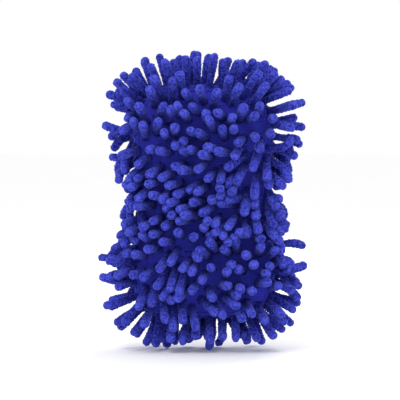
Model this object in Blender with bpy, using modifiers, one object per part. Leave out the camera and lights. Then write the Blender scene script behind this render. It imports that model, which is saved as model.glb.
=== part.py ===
"""Chenille wash mitt.

A foam pad in a boxed cover: noodle pile on the front and round the sides, a plain panel at
the back, and an elastic band across the back's waist that holds the hand.
Metres, +Z up the mitt's length, noodle front towards -Y, hand strap towards +Y.
"""
import math
import random

import bmesh
import bpy
from mathutils import Matrix, Vector

# Pad: its outline is a superellipse in the XZ plane, drawn in at the waist
PAD_HALF_WIDTH = 0.064
PAD_HALF_HEIGHT = 0.102
PAD_THICKNESS = 0.045
EDGE_RADIUS = 0.0045
TOP_SQUARENESS = 4.5
BOTTOM_SQUARENESS = 5.5
WAIST_DEPTH = 0.11  # share of the half width that the waist takes in
WAIST_REACH = 0.072  # how far above and below the waist the outline is drawn in
OUTLINE_SAMPLES = 1440
RING_POINTS = 44
EDGE_STEPS = 3

# Cover
CLOTH_THICKNESS = 0.0015
GAP = 0.0003  # between neighbouring pieces
PIPING_RADIUS = 0.0012
PIPING_INSET = 0.0002
SEAM_WIDTH = 2 * PIPING_RADIUS + 2 * GAP

# Noodle pile
NOODLE_LENGTH = 0.026
NOODLE_RADIUS = 0.0042
NOODLE_ROOT_RADIUS = 0.0030
NOODLE_SIDES = 6
TIP_INSET = 0.0020
TIP_RISE = 0.0024
TAPE_THICKNESS = 0.0012
TAPE_WIDTH = 0.0066
NOODLE_SINK = 0.0009  # how deep a noodle's root goes into its tape
TAPE_END_GAP = 0.0004
LEAN_JITTER = math.radians(1.5)
JITTER_SEED = 7

FRONT_ROWS = 13
FRONT_ROW_PITCH = 0.0144
FRONT_NOODLE_PITCH = 0.0106
FRONT_ROW_MARGIN = 0.009  # from the outline to the last noodle of a row
FRONT_FAN_ACROSS = 4.6  # tangent of the outward lean, for each metre from the centre
FRONT_FAN_ALONG = 2.6

SIDE_RINGS = 3
SIDE_RING_PITCH = 0.011
SIDE_NOODLES = 56  # in each ring
SIDE_FAN = math.tan(math.radians(10))
FLOOR_PRESS = 0.001  # how much the lowest tips are flattened by standing on them

# Hand strap
STRAP_HALF_WIDTH = 0.028
STRAP_THICKNESS = 0.0018
STRAP_CLEARANCE = 0.018
STRAP_HALF_SPAN = 0.043
STRAP_STEPS = 16
STRAP_BOW_POWER = 1.6  # 1 is a plain cosine arch, and more draws its feet in flatter
STRAP_FOOT_GAP = 0.0008  # leaves room for the sloping foot of the arch
STRAP_END_LENGTH = 0.0086
TACK_SIZE = (0.0012, 0.0008, 0.050)

# Places that follow from the sizes above
PILE_REACH = GAP + TAPE_THICKNESS + NOODLE_LENGTH
FRONT_REACH = PAD_THICKNESS / 2 + PILE_REACH
BACK_REACH = PAD_THICKNESS / 2 + GAP + STRAP_CLEARANCE + STRAP_THICKNESS
PAD_Y = (FRONT_REACH - BACK_REACH) / 2
PAD_Z = PAD_HALF_HEIGHT + PILE_REACH - FLOOR_PRESS
PAD_FRONT_Y = PAD_Y - PAD_THICKNESS / 2
PAD_BACK_Y = PAD_Y + PAD_THICKNESS / 2
CORE_OFFSET = CLOTH_THICKNESS + GAP
GUSSET_HALF_WIDTH = PAD_THICKNESS / 2 - EDGE_RADIUS - SEAM_WIDTH

SIDE_NAMES = {(0, 1): "top", (0, -1): "bottom", (-1, 0): "left", (1, 0): "right"}


def clear_scene():
    for thing in list(bpy.data.objects):
        bpy.data.objects.remove(thing)


def new_collection(name):
    group = bpy.data.collections.new(name)
    bpy.context.scene.collection.children.link(group)
    return group


def material(name, colour, roughness):
    made = bpy.data.materials.new(name)
    made.use_nodes = True
    shader = made.node_tree.nodes["Principled BSDF"]
    shader.inputs["Base Color"].default_value = (*colour, 1)
    shader.inputs["Roughness"].default_value = roughness
    shader.inputs["Metallic"].default_value = 0
    return made


def add_object(name, data, group, look=None):
    made = bpy.data.objects.new(name, data)
    group.objects.link(made)
    if look:
        data.materials.append(look)
    return made


def mesh_from(name, bm):
    bmesh.ops.recalc_face_normals(bm, faces=bm.faces)
    mesh = bpy.data.meshes.new(name)
    bm.to_mesh(mesh)
    bm.free()
    return mesh


def outline_point(angle):
    """Point of the pad's outline, as (x, height above the pad's centre)."""
    side, rise = math.cos(angle), math.sin(angle)
    power = TOP_SQUARENESS if rise > 0 else BOTTOM_SQUARENESS
    across = abs(side / PAD_HALF_WIDTH) ** power
    along = abs(rise / PAD_HALF_HEIGHT) ** power
    radius = (across + along) ** (-1 / power)
    x, height = radius * side, radius * rise
    if abs(height) < WAIST_REACH:
        x *= 1 - WAIST_DEPTH * (1 + math.cos(math.pi * height / WAIST_REACH)) / 2
    return Vector((x, height))


class Outline:
    """The pad's outline, traced once round from its lowest point, anticlockwise."""

    def __init__(self):
        turns = range(OUTLINE_SAMPLES)
        self.points = [
            outline_point(2 * math.pi * i / OUTLINE_SAMPLES - math.pi / 2) for i in turns
        ]
        self.normals = [self.normal_at(i) for i in turns]
        self.run, self.metric = [0.0], [0.0]
        for i in turns:
            after = (i + 1) % OUTLINE_SAMPLES
            step = (self.points[after] - self.points[i]).length
            turn = abs(self.normals[i].angle_signed(self.normals[after]))
            self.run.append(self.run[-1] + step)
            self.metric.append(self.metric[-1] + step + turn * PAD_HALF_WIDTH)
        self.length = self.run[-1]

    def normal_at(self, i):
        before = self.points[i - 1]
        after = self.points[(i + 1) % OUTLINE_SAMPLES]
        tangent = after - before
        return Vector((tangent.y, -tangent.x)).normalized()

    def station(self, share, table):
        """Point and outward normal at a share of the whole of one of the two tables."""
        target = (share % 1) * table[-1]
        low, high = 0, OUTLINE_SAMPLES
        while high - low > 1:
            middle = (low + high) // 2
            low, high = (middle, high) if table[middle] <= target else (low, middle)
        part = (target - table[low]) / (table[low + 1] - table[low])
        after = (low + 1) % OUTLINE_SAMPLES
        point = self.points[low].lerp(self.points[after], part)
        return point, self.normals[low].lerp(self.normals[after], part).normalized()

    def at_distance(self, distance):
        return self.station(distance / self.length, self.run)

    def ring(self, inset, y):
        """Closed ring of points at a depth inside the outline, closer together at corners."""
        points = []
        for i in range(RING_POINTS):
            point, normal = self.station(i / RING_POINTS, self.metric)
            points.append(in_space(point - normal * inset, y))
        return points

    def ring_distances(self):
        """How far round the outline each of a ring's points lies."""
        found = []
        for i in range(RING_POINTS):
            target = i / RING_POINTS * self.metric[-1]
            after = next(k for k, value in enumerate(self.metric) if value > target)
            span = self.metric[after] - self.metric[after - 1]
            part = (target - self.metric[after - 1]) / span
            found.append(self.run[after - 1] + part * (self.run[after] - self.run[after - 1]))
        return found

    def half_width(self, height):
        """Half the pad's width at a height above its centre."""
        return max(p.x for p in self.points if abs(p.y - height) < PAD_HALF_WIDTH / 64)


def in_space(flat, y):
    """A point of the outline's plane, placed on the mitt."""
    return Vector((flat.x, y, PAD_Z + flat.y))


def skin(name, rings, caps):
    """Loft between rings of equal length, with the first or last ones filled."""
    bm = bmesh.new()
    loops = [[bm.verts.new(point) for point in ring] for ring in rings]
    for lower, upper in zip(loops, loops[1:]):
        for i in range(len(lower)):
            after = (i + 1) % len(lower)
            bm.faces.new((lower[i], lower[after], upper[after], upper[i]))
    for index in caps:
        bm.faces.new(loops[index])
    return mesh_from(name, bm)


def edge_rings(outline, offset, facing):
    """Rings over the pad's rounded edge, from the side to the flat face that looks facing."""
    rings = []
    radius = EDGE_RADIUS - offset
    centre_y = PAD_Y + facing * (PAD_THICKNESS / 2 - EDGE_RADIUS)
    for step in range(EDGE_STEPS + 1):
        turn = math.pi / 2 * step / EDGE_STEPS
        inset = EDGE_RADIUS - radius * math.cos(turn)
        rings.append(outline.ring(inset, centre_y + facing * radius * math.sin(turn)))
    return rings


def thicken(thing, thickness):
    solid = thing.modifiers.new("Thickness", "SOLIDIFY")
    solid.thickness = thickness
    solid.offset = -1
    solid.use_even_offset = True


def add_foam_core(outline, group, look):
    rings = edge_rings(outline, CORE_OFFSET, -1)[::-1] + edge_rings(outline, CORE_OFFSET, 1)
    add_object("foam_core", skin("foam_core", rings, (0, -1)), group, look)


def add_face_cloth(name, facing, outline, group, look):
    """The front cloth or the back panel: a flat face with its edge turned over the foam."""
    mesh = skin(name, edge_rings(outline, 0, facing), (-1,))
    outward = mesh.polygons[-1].normal.y * facing > 0
    if not outward:
        mesh.flip_normals()
    thicken(add_object(name, mesh, group, look), CLOTH_THICKNESS)


def add_gusset(outline, group, look):
    ends = [PAD_Y - GUSSET_HALF_WIDTH, PAD_Y + GUSSET_HALF_WIDTH]
    mesh = skin("gusset_cloth", [outline.ring(0, y) for y in ends], ())
    face = mesh.polygons[0]
    if face.normal.dot(face.center - Vector((0, PAD_Y, PAD_Z))) < 0:
        mesh.flip_normals()
    thicken(add_object("gusset_cloth", mesh, group, look), CLOTH_THICKNESS)


def add_piping(name, facing, outline, group, look):
    """Seam cord between the gusset and one of the two face cloths."""
    y = PAD_Y + facing * (GUSSET_HALF_WIDTH + SEAM_WIDTH / 2)
    curve = bpy.data.curves.new(name, "CURVE")
    curve.dimensions = "3D"
    curve.bevel_depth = PIPING_RADIUS
    curve.bevel_resolution = 1
    spline = curve.splines.new("POLY")
    spline.points.add(RING_POINTS - 1)
    for place, point in zip(spline.points, outline.ring(PIPING_INSET, y)):
        place.co = (*point, 1)
    spline.use_cyclic_u = True
    add_object(name, curve, group, look)


def plant_noodle(bm, foot, normal, lean, rng):
    """One noodle: a cone that widens from its root, with a rounded tip.

    It is sheared over to its lean, so that its root stays flat in the tape.
    """
    sway = Vector((rng.uniform(-1, 1), rng.uniform(-1, 1), rng.uniform(-1, 1)))
    direction = (lean.normalized() + sway * math.tan(LEAN_JITTER)).normalized()
    length = NOODLE_LENGTH + NOODLE_SINK - TIP_RISE
    shear = Vector((0, 0, 1)).rotation_difference(normal).to_matrix()
    shear.col[2] = direction
    middle = Matrix.Translation(foot + direction * length / 2)
    made = bmesh.ops.create_cone(
        bm,
        cap_ends=True,
        segments=NOODLE_SIDES,
        radius1=NOODLE_ROOT_RADIUS,
        radius2=NOODLE_RADIUS,
        depth=length,
        matrix=middle @ shear.to_4x4(),
    )
    faces = {face for vert in made["verts"] for face in vert.link_faces}
    tip = max(faces, key=lambda face: face.calc_center_median().dot(direction))
    bmesh.ops.inset_region(bm, faces=[tip], thickness=TIP_INSET, depth=TIP_RISE)


def hide_cutter(cutter):
    cutter.hide_render = True
    cutter.display_type = "WIRE"


def join_pile(tape, roots, cutters, rng):
    """Plants a noodle at each root (foot, surface normal, lean) and joins it to the tape."""
    bm = bmesh.new()
    for foot, normal, lean in roots:
        plant_noodle(bm, foot, normal, lean, rng)
    pile = add_object(tape.name + "_pile", mesh_from(tape.name + "_pile", bm), cutters)
    hide_cutter(pile)
    union = tape.modifiers.new("Noodles", "BOOLEAN")
    union.operation = "UNION"
    union.object = pile


def add_front_rows(outline, group, cutters, look, rng):
    """Straight rows across the front, lowest first, with every other row staggered."""
    face_y = PAD_FRONT_Y - GAP
    for row in range(FRONT_ROWS):
        height = (row - (FRONT_ROWS - 1) / 2) * FRONT_ROW_PITCH
        reach = outline.half_width(height) - FRONT_ROW_MARGIN
        if row % 2:
            places = [k + 0.5 for k in range(-20, 20)]
        else:
            places = range(-20, 21)
        spots = [k * FRONT_NOODLE_PITCH for k in places if abs(k) * FRONT_NOODLE_PITCH <= reach]
        name = f"front_noodle_row_{row + 1:02}"
        bpy.ops.mesh.primitive_cube_add(size=1)
        tape = bpy.context.object
        tape.name = tape.data.name = name
        for owner in list(tape.users_collection):
            owner.objects.unlink(tape)
        group.objects.link(tape)
        tape.data.materials.append(look)
        length = spots[-1] - spots[0] + TAPE_WIDTH
        size = Matrix.Diagonal((length, TAPE_THICKNESS, TAPE_WIDTH, 1))
        tape.data.transform(size)
        tape.location = (0, face_y - TAPE_THICKNESS / 2, PAD_Z + height)
        foot_y = face_y - TAPE_THICKNESS + NOODLE_SINK
        roots = []
        for x in spots:
            foot = Vector((x, foot_y, PAD_Z + height))
            lean = Vector((x * FRONT_FAN_ACROSS, -1, height * FRONT_FAN_ALONG))
            roots.append((foot, Vector((0, -1, 0)), lean))
        join_pile(tape, roots, cutters, rng)


def side_tape(name, outline, start, end, y, ring_distances, group, look):
    """A tape along the outline from one distance to another, standing just off the gusset."""
    length = outline.length
    inner = [d + k * length for k in (-1, 0, 1) for d in ring_distances]
    stops = [start, *(d for d in inner if start < d < end), end]
    bm = bmesh.new()
    sides = []
    for distance in stops:
        point, normal = outline.at_distance(distance)
        flat = point + normal * (GAP + TAPE_THICKNESS)
        pair = [in_space(flat, y + half * TAPE_WIDTH / 2) for half in (-1, 1)]
        sides.append([bm.verts.new(place) for place in pair])
    for (near, far), (next_near, next_far) in zip(sides, sides[1:]):
        bm.faces.new((near, far, next_far, next_near))
    mesh = bpy.data.meshes.new(name)
    bm.to_mesh(mesh)
    bm.free()
    middle = mesh.polygons[len(mesh.polygons) // 2]
    point, normal = outline.at_distance((start + end) / 2)
    if middle.normal.dot(Vector((normal.x, 0, normal.y))) < 0:
        mesh.flip_normals()
    tape = add_object(name, mesh, group, look)
    thicken(tape, TAPE_THICKNESS)
    return tape


def facing_side(normal):
    """Which of the four sides a normal of the outline faces most."""
    if abs(normal.x) > abs(normal.y):
        return SIDE_NAMES[(1 if normal.x > 0 else -1, 0)]
    return SIDE_NAMES[(0, 1 if normal.y > 0 else -1)]


def side_runs(outline, stagger):
    """The noodles' distances round the outline in one ring, grouped by side."""
    pitch = outline.length / SIDE_NOODLES
    distances = [(k + stagger) * pitch for k in range(-SIDE_NOODLES // 8, SIDE_NOODLES * 7 // 8)]
    runs = []
    for distance in distances:
        side = facing_side(outline.at_distance(distance)[1])
        if not runs or runs[-1][0] != side:
            runs.append((side, []))
        runs[-1][1].append(distance)
    if runs[0][0] == runs[-1][0] and len(runs) > len(SIDE_NAMES):
        tail = [distance - outline.length for distance in runs.pop()[1]]
        runs[0] = (runs[0][0], tail + runs[0][1])
    return runs, pitch


def add_floor_cutter(cutters):
    """A block under the floor, which flattens the tips that the mitt stands on."""
    bm = bmesh.new()
    depth = 2 * NOODLE_LENGTH
    size = Matrix.Diagonal((4 * PAD_HALF_WIDTH, 2 * PAD_HALF_HEIGHT, depth, 1))
    bmesh.ops.create_cube(bm, size=1, matrix=Matrix.Translation((0, 0, -depth / 2)) @ size)
    block = add_object("floor_block", mesh_from("floor_block", bm), cutters)
    hide_cutter(block)
    return block


def add_side_rings(outline, group, cutters, look, rng):
    """Three rings of noodles round the gusset, each in four tapes."""
    ring_distances = outline.ring_distances()
    floor_block = add_floor_cutter(cutters)
    for ring in range(SIDE_RINGS):
        step = ring - (SIDE_RINGS - 1) / 2
        y = PAD_Y + step * SIDE_RING_PITCH
        runs, pitch = side_runs(outline, 0.5 * (ring % 2 == 0))
        for side, distances in runs:
            name = f"{side}_noodle_row_{ring + 1}"
            start = distances[0] - pitch / 2 + TAPE_END_GAP
            end = distances[-1] + pitch / 2 - TAPE_END_GAP
            tape = side_tape(name, outline, start, end, y, ring_distances, group, look)
            roots = []
            for distance in distances:
                point, flat_normal = outline.at_distance(distance)
                foot = in_space(point + flat_normal * (GAP + TAPE_THICKNESS - NOODLE_SINK), y)
                normal = Vector((flat_normal.x, 0, flat_normal.y))
                roots.append((foot, normal, normal + Vector((0, step * SIDE_FAN, 0))))
            join_pile(tape, roots, cutters, rng)
            if side == "bottom":
                cut = tape.modifiers.new("Floor", "BOOLEAN")
                cut.operation = "DIFFERENCE"
                cut.object = floor_block


def add_hand_strap(group, look):
    """Elastic band, bowed off the back to let the fingers through."""
    curve = bpy.data.curves.new("hand_strap", "CURVE")
    curve.dimensions = "2D"
    curve.fill_mode = "NONE"
    curve.extrude = STRAP_HALF_WIDTH
    spline = curve.splines.new("POLY")
    spline.points.add(STRAP_STEPS)
    for i, place in enumerate(spline.points):
        share = 2 * i / STRAP_STEPS - 1
        bow = STRAP_CLEARANCE * max(0, math.cos(math.pi / 2 * share)) ** STRAP_BOW_POWER
        place.co = (share * STRAP_HALF_SPAN, GAP + bow, 0, 1)
    strap = add_object("hand_strap", curve, group, look)
    strap.location = (0, PAD_BACK_Y, PAD_Z)
    solid = strap.modifiers.new("Thickness", "SOLIDIFY")
    solid.thickness = STRAP_THICKNESS
    solid.offset = 1
    return strap


def add_block(name, centre, size, group, look):
    bm = bmesh.new()
    bmesh.ops.create_cube(bm, size=1, matrix=Matrix.Diagonal((*size, 1)))
    block = add_object(name, mesh_from(name, bm), group, look)
    block.location = centre
    return block


def add_strap_ends(group, strap_look, thread_look):
    """The band's sewn ends on the back panel, each with a bar of stitching over it."""
    end_size = (STRAP_END_LENGTH, STRAP_THICKNESS, 2 * STRAP_HALF_WIDTH)
    end_y = PAD_BACK_Y + GAP + STRAP_THICKNESS / 2
    tack_y = end_y + STRAP_THICKNESS / 2 + GAP + TACK_SIZE[1] / 2
    for side, facing in (("left", -1), ("right", 1)):
        x = facing * (STRAP_HALF_SPAN + STRAP_FOOT_GAP + STRAP_END_LENGTH / 2)
        end = (x, end_y, PAD_Z)
        add_block(f"strap_end_{side}", end, end_size, group, strap_look)
        add_block(f"bar_tack_{side}", (x, tack_y, PAD_Z), TACK_SIZE, group, thread_look)


def main():
    clear_scene()
    parts = new_collection("wash_mitt")
    cutters = new_collection("cutters")
    rng = random.Random(JITTER_SEED)
    outline = Outline()
    foam = material("foam", (0.75, 0.73, 0.62), 0.9)
    pile = material("noodle_pile", (0.035, 0.035, 0.42), 0.85)
    backing = material("backing_cloth", (0.02, 0.018, 0.22), 0.9)
    panel = material("back_panel", (0.03, 0.03, 0.3), 0.8)
    binding = material("seam_binding", (0.025, 0.022, 0.27), 0.8)
    elastic = material("elastic", (0.012, 0.012, 0.05), 0.75)
    thread = material("thread", (0.04, 0.04, 0.4), 0.7)
    add_foam_core(outline, parts, foam)
    add_face_cloth("front_cloth", -1, outline, parts, backing)
    add_face_cloth("back_panel", 1, outline, parts, panel)
    add_gusset(outline, parts, backing)
    add_piping("front_seam_piping", -1, outline, parts, binding)
    add_piping("back_seam_piping", 1, outline, parts, binding)
    add_front_rows(outline, parts, cutters, pile, rng)
    add_side_rings(outline, parts, cutters, pile, rng)
    add_hand_strap(parts, elastic)
    add_strap_ends(parts, elastic, thread)


main()
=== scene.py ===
"""Looks of the chenille wash mitt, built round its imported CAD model.

The cover is blown up by cloth simulation, every noodle is planted on it, leant the way the pile
is combed and pushed off its neighbours, and then skinned as a fuzzy tube.
"""
import math

import bmesh
import bpy
import numpy as np
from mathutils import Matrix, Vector
from mathutils.bvhtree import BVHTree


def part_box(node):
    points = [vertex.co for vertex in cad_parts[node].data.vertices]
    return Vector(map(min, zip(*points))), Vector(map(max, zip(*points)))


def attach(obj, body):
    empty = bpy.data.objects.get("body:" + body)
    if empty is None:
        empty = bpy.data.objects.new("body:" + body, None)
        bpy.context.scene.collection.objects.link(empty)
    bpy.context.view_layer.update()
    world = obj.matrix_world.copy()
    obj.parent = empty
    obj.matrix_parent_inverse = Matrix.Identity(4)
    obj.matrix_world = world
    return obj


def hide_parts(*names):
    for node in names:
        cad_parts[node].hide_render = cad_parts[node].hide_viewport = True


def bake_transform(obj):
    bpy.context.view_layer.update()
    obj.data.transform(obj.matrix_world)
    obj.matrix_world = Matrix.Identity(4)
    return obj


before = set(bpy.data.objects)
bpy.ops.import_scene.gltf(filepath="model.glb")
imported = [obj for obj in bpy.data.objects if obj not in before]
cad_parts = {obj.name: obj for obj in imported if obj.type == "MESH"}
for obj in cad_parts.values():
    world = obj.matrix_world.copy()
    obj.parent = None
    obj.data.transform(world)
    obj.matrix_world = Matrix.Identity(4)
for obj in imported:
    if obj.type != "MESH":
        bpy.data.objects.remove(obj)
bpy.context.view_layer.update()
SEED = 23  # picked from five for how the pile falls
rng = np.random.default_rng(SEED)
MM = 0.001

# The pad's outline, as in the CAD: a superellipse drawn in at the waist
PAD_HALF_WIDTH = 0.064
PAD_HALF_HEIGHT = 0.102
TOP_SQUARENESS = 4.5
BOTTOM_SQUARENESS = 5.5
WAIST_DEPTH = 0.11
WAIST_REACH = 0.072
OUTLINE_SAMPLES = 2880

# Levels read from the CAD
FRONT_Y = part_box("front_cloth")[0].y
BACK_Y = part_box("back_panel")[1].y
PAD_Y = (FRONT_Y + BACK_Y) / 2
PAD_Z = (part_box("gusset_cloth")[0].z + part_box("gusset_cloth")[1].z) / 2
SIDE_RINGS = 3
FRONT_ROWS = sum(name.startswith("front_noodle_row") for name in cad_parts)


# ---------------- outline


def outline_points():
    angle = np.linspace(0, 2 * np.pi, OUTLINE_SAMPLES, endpoint=False) - np.pi / 2
    side, rise = np.cos(angle), np.sin(angle)
    power = np.where(rise > 0, TOP_SQUARENESS, BOTTOM_SQUARENESS)
    across = np.abs(side / PAD_HALF_WIDTH) ** power
    along = np.abs(rise / PAD_HALF_HEIGHT) ** power
    radius = (across + along) ** (-1 / power)
    x, z = radius * side, radius * rise
    dip = np.where(np.abs(z) < WAIST_REACH, (1 + np.cos(np.pi * z / WAIST_REACH)) / 2, 0)
    return np.stack([x * (1 - WAIST_DEPTH * dip), z], 1)


class Outline:
    """The pad's outline, once round from its lowest point, anticlockwise from the front."""

    def __init__(self):
        self.points = outline_points()
        tangent = np.roll(self.points, -1, 0) - np.roll(self.points, 1, 0)
        tangent /= np.linalg.norm(tangent, axis=1)[:, None]
        self.normals = np.stack([tangent[:, 1], -tangent[:, 0]], 1)
        steps = np.linalg.norm(np.roll(self.points, -1, 0) - self.points, axis=1)
        self.run = np.concatenate([[0], np.cumsum(steps)])
        self.length = self.run[-1]

    def at(self, distance):
        """Points and outward normals at distances round the outline."""
        distance = np.mod(distance, self.length)
        found = []
        for table in (self.points, self.normals):
            closed = np.vstack([table, table[:1]])
            columns = [np.interp(distance, self.run, closed[:, i]) for i in (0, 1)]
            found.append(np.stack(columns, -1))
        found[1] /= np.linalg.norm(found[1], axis=-1, keepdims=True)
        return found

    def half_width(self, z):
        near = np.abs(self.points[:, 1] - z) < 1 * MM
        return self.points[near, 0].max()

    def inset(self, flat):
        """How far points lie inside the outline, to the nearest of every eighth of its points."""
        gap = flat[:, None] - self.points[None, ::8]
        return np.linalg.norm(gap, axis=2).min(1)


outline = Outline()


# ---------------- mesh helpers


def unit(v):
    return v / np.maximum(np.linalg.norm(v, axis=-1, keepdims=True), 1e-12)


def new_object(name, data):
    made = bpy.data.objects.new(name, data)
    bpy.context.scene.collection.objects.link(made)
    return made


def mesh_object(name, points, quads):
    """A smooth object from arrays of points and quads."""
    mesh = bpy.data.meshes.new(name)
    mesh.vertices.add(len(points))
    mesh.vertices.foreach_set("co", np.asarray(points, np.float32).ravel())
    mesh.loops.add(quads.size)
    mesh.loops.foreach_set("vertex_index", np.asarray(quads, np.int32).ravel())
    mesh.polygons.add(len(quads))
    mesh.polygons.foreach_set("loop_start", np.arange(0, quads.size, 4, dtype=np.int32))
    mesh.update(calc_edges=True)
    mesh.shade_smooth()
    return new_object(name, mesh)


def apply_modifiers(thing):
    graph = bpy.context.evaluated_depsgraph_get()
    mesh = bpy.data.meshes.new_from_object(thing.evaluated_get(graph))
    thing.modifiers.clear()
    thing.data = mesh


def grid_quads(rows, columns, wrap_columns=False, wrap_rows=False):
    """Quads of a grid whose point (r, c) is number r * columns + c."""
    r = np.arange(rows if wrap_rows else rows - 1)[:, None]
    c = np.arange(columns if wrap_columns else columns - 1)[None]
    below, after = (r + 1) % rows, (c + 1) % columns
    corners = [r * columns + c, r * columns + after, below * columns + after, below * columns + c]
    return np.stack([k + 0 * (r + c) for k in corners], -1).reshape(-1, 4)


def end_quads(columns, first):
    """Quads across the end of a sweep whose section has an even number of points."""
    i = np.arange(columns // 2 - 1)
    return first + np.stack([i, columns - 1 - i, columns - 2 - i, i + 1], 1)


def fan_quads(columns, first, centre):
    """Quads from a ring with an even number of points to one point in its middle."""
    k = np.arange(0, columns, 2)
    corners = [first + k, first + k + 1, first + (k + 2) % columns, 0 * k + centre]
    return np.stack(corners, 1)


def sweep(centres, sides, ups, section, closed=False):
    """Points and quads of a section of (side, up) offsets carried along centres.

    section is one list for all stations, or one for each."""
    section = np.asarray(section)
    if section.ndim == 2:
        section = np.repeat(section[None], len(centres), 0)
    points = centres[:, None] + sides[:, None] * section[..., :1] + ups[:, None] * section[..., 1:]
    rows, columns, _ = points.shape
    quads = [grid_quads(rows, columns, True, closed)]
    if not closed:
        quads += [end_quads(columns, 0), end_quads(columns, (rows - 1) * columns)[:, ::-1]]
    return points.reshape(-1, 3), np.concatenate(quads)


def oval(half_width, half_height, count=8, power=1.0):
    """A closed section; power under 1 squares it up."""
    angle = np.linspace(0, 2 * np.pi, count, endpoint=False) + np.pi / count
    c, s = np.cos(angle), np.sin(angle)
    x = half_width * np.sign(c) * np.abs(c) ** power
    y = half_height * np.sign(s) * np.abs(s) ** power
    return np.stack([x, y], 1)


def joined(parts):
    """One list of points and one of quads from several."""
    points, quads, base = [], [], 0
    for some_points, some_quads in parts:
        points.append(some_points)
        quads.append(some_quads + base)
        base += len(some_points)
    return np.concatenate(points), np.concatenate(quads)


def path_frames(centres, ups, closed=False):
    """Sideways and upward unit vectors along a path that lies on a surface with normals ups."""
    if closed:
        along = np.roll(centres, -1, 0) - np.roll(centres, 1, 0)
    else:
        along = np.gradient(centres, axis=0)
    along = unit(along)
    sides = unit(np.cross(along, ups))
    return sides, unit(np.cross(sides, along))


def outward(thing, facing=None):
    """Turns a surface's faces away from the pad's middle, or towards facing along y."""
    bm = bmesh.new()
    bm.from_mesh(thing.data)
    bmesh.ops.recalc_face_normals(bm, faces=bm.faces)
    bm.to_mesh(thing.data)
    bm.free()
    if facing is None:
        turned = [
            (face.center - Vector((0, face.center.y, PAD_Z))).dot(face.normal) * face.area
            for face in thing.data.polygons
        ]
    else:
        turned = [face.normal.y * facing * face.area for face in thing.data.polygons]
    if sum(turned) < 0:
        thing.data.flip_normals()


def cloth(name, points, quads, thickness, facing=None):
    """A cloth whose outer side is a surface of points and quads."""
    made = mesh_object(name, points, quads)
    outward(made, facing)
    solid = made.modifiers.new("Thickness", "SOLIDIFY")
    solid.thickness = thickness
    solid.offset = -1
    apply_modifiers(made)
    return made


def finish_piece(thing, look, replaced=(), body="pad"):
    thing.data.materials.append(look)
    if body:
        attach(thing, body)
    if replaced:
        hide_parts(*replaced)
    return thing


# ---------------- materials


class Look:
    """A Principled material under construction."""

    def __init__(self, name, roughness=0.9, sheen=0.0, tint=(1, 1, 1), sheen_roughness=0.35):
        self.material = bpy.data.materials.new(name)
        self.material.use_nodes = True
        self.tree = self.material.node_tree
        self.shader = self.tree.nodes["Principled BSDF"]
        self.shader.inputs["Roughness"].default_value = roughness
        self.shader.inputs["Specular IOR Level"].default_value = 0.12
        self.shader.inputs["Sheen Weight"].default_value = sheen
        self.shader.inputs["Sheen Roughness"].default_value = sheen_roughness
        self.shader.inputs["Sheen Tint"].default_value = (*tint, 1)
        self.place = self.node("TexCoord").outputs["Object"]

    def node(self, kind, **values):
        made = self.tree.nodes.new("ShaderNode" + kind)
        for name, value in values.items():
            made.inputs[name].default_value = value
        return made

    def noise(self, scale, detail=4.0, roughness=0.6):
        made = self.node("TexNoise", Scale=scale, Detail=detail, Roughness=roughness)
        self.tree.links.new(self.place, made.inputs["Vector"])
        return made.outputs["Fac"]

    def wave(self, scale, direction, distortion=0.0):
        made = self.node("TexWave", Scale=scale, Distortion=distortion)
        made.bands_direction = direction
        self.tree.links.new(self.place, made.inputs["Vector"])
        return made.outputs["Fac"]

    def attribute(self, name):
        made = self.node("Attribute")
        made.attribute_name = name
        return made.outputs["Fac"]

    def math(self, operation, a, b):
        made = self.node("Math")
        made.operation = operation
        for socket, value in zip(made.inputs, (a, b)):
            if isinstance(value, (int, float)):
                socket.default_value = value
            else:
                self.tree.links.new(value, socket)
        return made.outputs[0]

    def total(self, *weighted):
        """The sum of (value, weight) pairs."""
        result = 0.0
        for value, weight in weighted:
            result = self.math("ADD", self.math("MULTIPLY", value, weight), result)
        return result

    def colours(self, value, *stops):
        made = self.node("ValToRGB")
        elements = made.color_ramp.elements
        while len(elements) < len(stops):
            elements.new(0.5)
        for element, (position, colour) in zip(elements, stops):
            element.position = position
            element.color = (*colour, 1)
        self.tree.links.new(value, made.inputs["Fac"])
        self.tree.links.new(made.outputs["Color"], self.shader.inputs["Base Color"])

    def bump(self, height, strength, distance):
        made = self.node("Bump", Strength=strength, Distance=distance)
        self.tree.links.new(height, made.inputs["Height"])
        self.tree.links.new(made.outputs["Normal"], self.shader.inputs["Normal"])


def pile_look():
    """Chenille microfibre with random mottling, and painted shade: darker at each noodle's root, lighter
    at its tip.
    """
    look = Look("chenille_pile", 0.95, 0.7, (0.24, 0.30, 1.0), 0.3)
    tuft = look.noise(1000, 4, 0.7)
    mottle = look.noise(430, 2, 0.6)
    drift = look.noise(55, 2, 0.5)
    # painted shade: the share of the length makes each noodle darker towards its root, where its
    # neighbours shade it, and lighter towards its tip
    rise = look.math("POWER", look.attribute("along"), 0.5)
    shade = look.total((tuft, 0.55), (mottle, 0.42), (drift, 0.15), (rise, 0.17))
    # the darkest stop is painted shade, reached at the roots; the lightest, whitened stop is a painted
    # highlight, reached at the tips
    look.colours(
        shade,
        (0.52, (0.004, 0.005, 0.075)),
        (0.66, (0.017, 0.022, 0.285)),
        (0.79, (0.078, 0.097, 0.700)),
    )
    look.bump(look.total((tuft, 0.6), (mottle, 1.0)), 0.9, 0.0014)
    return look.material


def ground_look():
    """The knitted ground that the noodles grow from."""
    look = Look("ground_cloth", 0.95, 0.25, (0.35, 0.38, 1.0))
    knit = look.wave(230, "Z", 2.0)
    fibre = look.noise(700)
    look.colours(
        look.total((knit, 0.4), (fibre, 0.6)),
        (0.30, (0.023, 0.026, 0.32)),
        (0.75, (0.039, 0.045, 0.50)),
    )
    look.bump(knit, 0.5, 0.0004)
    return look.material


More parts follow.
